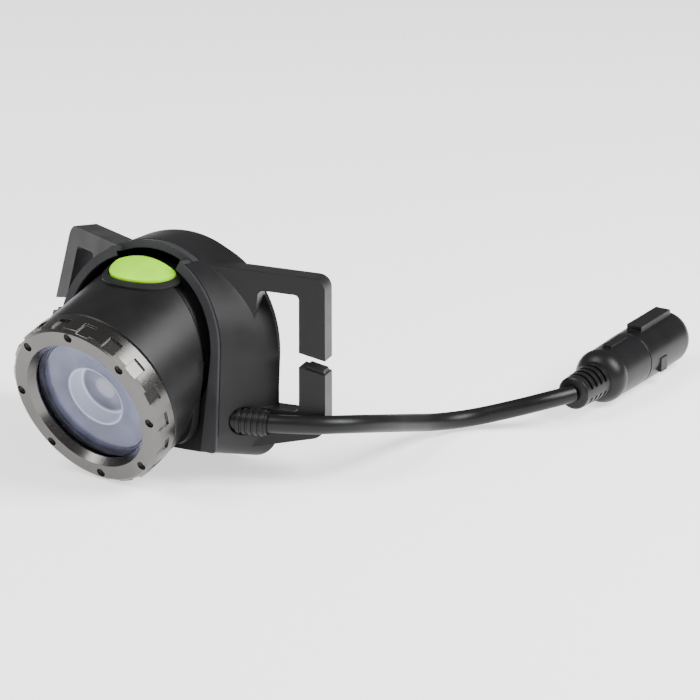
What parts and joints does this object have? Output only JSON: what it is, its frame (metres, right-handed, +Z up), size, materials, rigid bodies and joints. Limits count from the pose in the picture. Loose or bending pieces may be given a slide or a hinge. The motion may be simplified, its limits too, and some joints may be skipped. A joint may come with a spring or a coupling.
{
  "type": "strap-mounted headlamp head",
  "caption": "Round tilting and focusing headlamp head in a rear housing with two strap loops, and a short lead with an in-line connector.",
  "frame": {"origin": "centre of the lamp's bounding box on the table that it rests on, without the lead and its connector", "axes": "+Z up; the lamp looks towards -Y and a little down; +X is the side that the lead leaves from"},
  "size_m": [0.1167, 0.1535, 0.0511],
  "materials": {
    "housing_plastic": "fine textured black",
    "trim_plastic": "fine textured dark grey",
    "barrel_plastic": "satin black",
    "seal_rubber": "matte black",
    "cable_rubber": "semi-gloss black",
    "surround_rubber": "matte black",
    "button_green": "satin yellow-green",
    "insert_plastic": "satin black",
    "bezel_metal": "gun-metal anodised, brushed",
    "aluminium": "machined",
    "steel": "zinc plated",
    "brass": "gold plated",
    "board": "solder mask",
    "led": "phosphor under a clear dome",
    "clear": "clear, coated",
    "clear_lens": "clear, polished"
  },
  "bodies": {
    "housing": {"rear_housing": "housing_plastic", "hood_ring": "trim_plastic", "back_cover": "housing_plastic", "cover_gasket": "seal_rubber", "cover_screws": "steel", "tilt_pins": "steel", "detent_spring": "steel", "cable_gland": "cable_rubber", "power_cable": "cable_rubber", "connector_strain_relief": "cable_rubber", "connector_sleeve": "cable_rubber", "connector_insert": "insert_plastic", "connector_contacts": "brass"},
    "lamp_head": {"head_barrel": "barrel_plastic", "head_rear_cap": "barrel_plastic", "heat_sink": "aluminium", "led_board": "board", "led_emitter": "led", "board_screws": "steel", "driver_board": "board", "tact_switch": "insert_plastic", "button_surround": "surround_rubber", "bezel_o_ring": "seal_rubber"},
    "focus_bezel": {"focus_bezel": "bezel_metal", "window_seal": "seal_rubber", "front_window": "clear"},
    "lens_carriage": {"focus_lens": "clear_lens", "lens_carriage": "insert_plastic"},
    "power_button": {"power_button": "button_green"}
  },
  "joints": [
    {"name": "head_tilt", "type": "hinge", "parent": "housing", "child": "lamp_head", "pos_m": [0, 0.006, 0.02704], "axis": [-1, 0, 0], "range_deg": [0, 27]},
    {"name": "focus_turn", "type": "hinge", "parent": "lamp_head", "child": "focus_bezel", "pos_m": [0, 0.006, 0.02704], "axis": [0, -0.9627, -0.2706], "range_deg": [0, 100]},
    {"name": "lens_slide", "type": "slide", "parent": "lamp_head", "child": "lens_carriage", "axis": [0, 0.9627, 0.2706], "range_m": [0, 0.003]},
    {"name": "button_press", "type": "slide", "parent": "lamp_head", "child": "power_button", "axis": [0, 0.2706, -0.9627], "range_m": [0, 0.0006], "stiffness_N_per_m": 1500, "springref_m": -0.0004}
  ],
  "couplings": [
    {"joint": "lens_slide", "follows": "focus_turn", "m_per_rad": 0.0017189}
  ]
}
